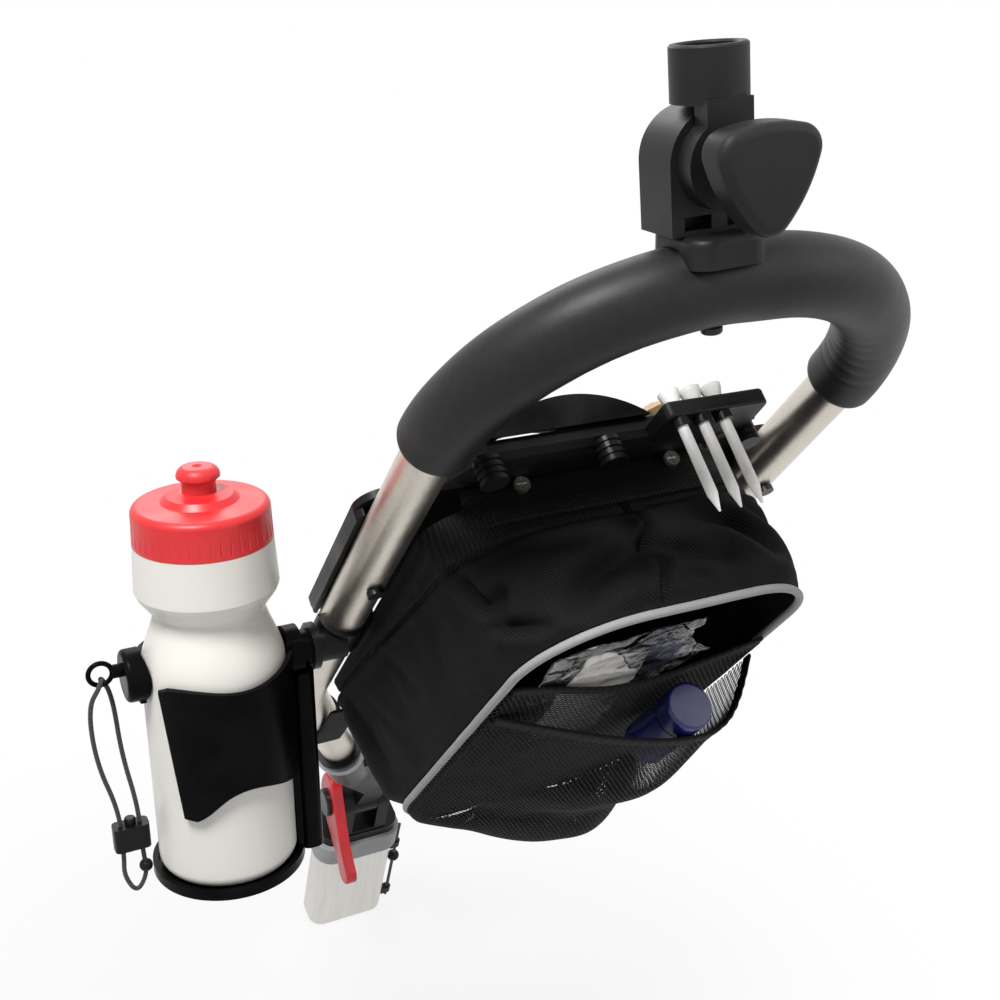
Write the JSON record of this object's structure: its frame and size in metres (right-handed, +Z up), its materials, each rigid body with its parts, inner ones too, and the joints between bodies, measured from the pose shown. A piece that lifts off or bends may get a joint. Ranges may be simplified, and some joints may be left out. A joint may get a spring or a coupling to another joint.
{
  "type": "golf push cart handle assembly",
  "caption": "Upper handle of a golf push cart: folding U-shaped bar with foam grip, umbrella mount, console, hanging net-fronted bag and swivelling bottle cage.",
  "frame": {"origin": "centre of the main beam's open lower end", "axes": "+X to the user's right, +Y forward away from the user, +Z up"},
  "size_m": [0.382, 0.6206, 0.7642],
  "materials": {
    "silver_tube": "satin anodised",
    "silver_beam": "satin",
    "grey_plastic": "moulded",
    "black_plastic": "moulded, fine grain",
    "gloss_black": "smooth moulded",
    "steel": "plated",
    "black_steel": "black oxide",
    "red_plastic": "moulded",
    "foam": "closed-cell foam",
    "cord_black": "braided",
    "bag_fabric": "twill",
    "webbing": "coarse webbing",
    "piping": "grey piping",
    "net": "knitted net",
    "elastic": "elastic band",
    "white_plastic": "translucent white",
    "red_cap": "moulded",
    "tee_white": "painted wood",
    "pencil_wood": "bare and painted wood",
    "blue": "moulded",
    "clear": "clear film over a white card"
  },
  "bodies": {
    "beam": {"main_beam": "silver_beam", "beam_collar": "grey_plastic", "hinge_block": "black_plastic", "hinge_bolt": "black_steel", "hinge_nut": "steel", "beam_cord": "cord_black", "cord_ball": "black_plastic", "cord_clips": "black_plastic"},
    "latch": {"latch_lever": "red_plastic"},
    "umbrella": {"umbrella_socket": "black_plastic"},
    "knob": {"clamp_knob": "black_plastic"},
    "lid": {"scorecard_lid": "gloss_black"},
    "cage": {"bottle_cage": "black_plastic", "lanyard": "cord_black", "cord_lock": "black_plastic", "lanyard_bead": "black_plastic"},
    "lock_button": {"lock_button": "black_plastic"},
    "bottle": {"bottle": "white_plastic"},
    "cap": {"bottle_cap": "red_cap"},
    "spout": {"bottle_spout": "red_cap"},
    "tee_1": {"tee_1": "tee_white"},
    "tee_2": {"tee_2": "tee_white"},
    "tee_3": {"tee_3": "tee_white"},
    "handle": {"handlebar_tube": "silver_tube", "foam_grip": "foam", "handle_yoke": "black_plastic", "socket_bands": "grey_plastic", "umbrella_saddle": "black_plastic", "saddle_screw": "black_steel", "umbrella_block": "black_plastic", "clamp_bolt": "steel", "console_board": "black_plastic", "leg_bolts": "black_steel", "console_nose": "black_plastic", "lid_pin": "steel", "pencil": "pencil_wood", "tee_bar": "black_plastic", "console_plugs": "black_plastic", "bag_shell": "bag_fabric", "bag_band": "webbing", "band_screws": "steel", "bag_piping": "piping", "inner_net": "net", "inner_hem": "elastic", "outer_net": "net", "outer_hem": "elastic", "left_strap": "webbing", "right_strap": "webbing", "blue_canister": "blue", "clear_packet": "clear", "pivot_bolt": "black_steel", "cage_bracket": "black_plastic"}
  },
  "joints": [
    {"name": "handle_fold", "type": "hinge", "parent": "beam", "child": "handle", "pos_m": [0, -0.06252, 0.14728], "axis": [1, 0, 0], "range_deg": [-130, 0]},
    {"name": "latch_swing", "type": "hinge", "parent": "beam", "child": "latch", "pos_m": [0, -0.06252, 0.14728], "axis": [1, 0, 0], "range_deg": [-60, 0]},
    {"name": "umbrella_tilt", "type": "hinge", "parent": "handle", "child": "umbrella", "pos_m": [-0.02373, -0.56878, 0.71263], "axis": [0.074, 0.9973, 0], "range_deg": [-60, 60]},
    {"name": "knob_turn", "type": "hinge", "parent": "handle", "child": "knob", "pos_m": [-0.02573, -0.5957, 0.71263], "axis": [-0.074, -0.9973, 0], "range_deg": [0, 540]},
    {"name": "lid_open", "type": "hinge", "parent": "handle", "child": "lid", "pos_m": [-0.04, -0.42823, 0.55661], "axis": [-1, 0, 0], "range_deg": [0, 95]},
    {"name": "cage_swivel", "type": "hinge", "parent": "handle", "child": "cage", "pos_m": [-0.133, -0.3585, 0.4412], "axis": [1, 0, 0], "range_deg": [-60, 60]},
    {"name": "bottle_lift", "type": "slide", "parent": "cage", "child": "bottle", "axis": [0, 0, 1], "range_m": [0, 0.17]},
    {"name": "cap_turn", "type": "hinge", "parent": "bottle", "child": "cap", "pos_m": [-0.185, -0.3585, 0.5372], "axis": [0, 0, 1], "range_deg": [0, 540]},
    {"name": "spout_pull", "type": "slide", "parent": "cap", "child": "spout", "axis": [0, 0, 1], "range_m": [0, 0.006]},
    {"name": "lock_press", "type": "slide", "parent": "cage", "child": "lock_button", "axis": [0, 0, -1], "range_m": [0, 0.003], "stiffness_N_per_m": 150, "springref_m": -0.001},
    {"name": "tee_1_pull", "type": "slide", "parent": "handle", "child": "tee_1", "axis": [0, 0.723, 0.6909], "range_m": [0, 0.045]},
    {"name": "tee_2_pull", "type": "slide", "parent": "handle", "child": "tee_2", "axis": [0, 0.723, 0.6909], "range_m": [0, 0.045]},
    {"name": "tee_3_pull", "type": "slide", "parent": "handle", "child": "tee_3", "axis": [0, 0.723, 0.6909], "range_m": [0, 0.045]}
  ]
}
